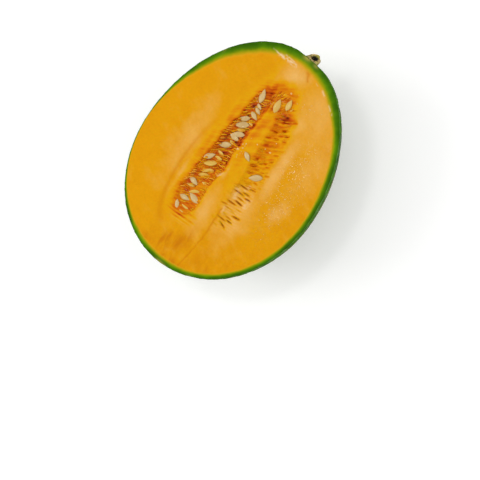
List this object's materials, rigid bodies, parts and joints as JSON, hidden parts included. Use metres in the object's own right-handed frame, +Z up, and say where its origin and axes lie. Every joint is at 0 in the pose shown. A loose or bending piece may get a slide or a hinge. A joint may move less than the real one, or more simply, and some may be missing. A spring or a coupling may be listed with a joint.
{
  "type": "halved rock melon",
  "caption": "Half of a ripe rock melon, cut from stem to blossom end: netted green rind, orange flesh, a groove of seeds in red pulp. Lies on its rind, cut face up.",
  "frame": {"origin": "middle of the flat spot under the rind that the half rests on, below the fruit's widest ring", "axes": "+X towards the stem end, +Y towards the side that holds the seed groove, +Z up through the cut face"},
  "size_m": [0.1744, 0.1352, 0.0707],
  "materials": {
    "green_rind": "waxy dark green skin under a raised tan corky net, lime green where cut",
    "orange_flesh": "wet orange flesh, paler towards the rind",
    "seeds_and_pulp": "cream seeds in wet red-orange fibres",
    "corky_scar": "dry tan cork round a dark hole"
  },
  "bodies": {
    "root": {"rind": "green_rind", "flesh": "orange_flesh", "seed_bed": "seeds_and_pulp", "stem_scar": "corky_scar"}
  },
  "joints": []
}
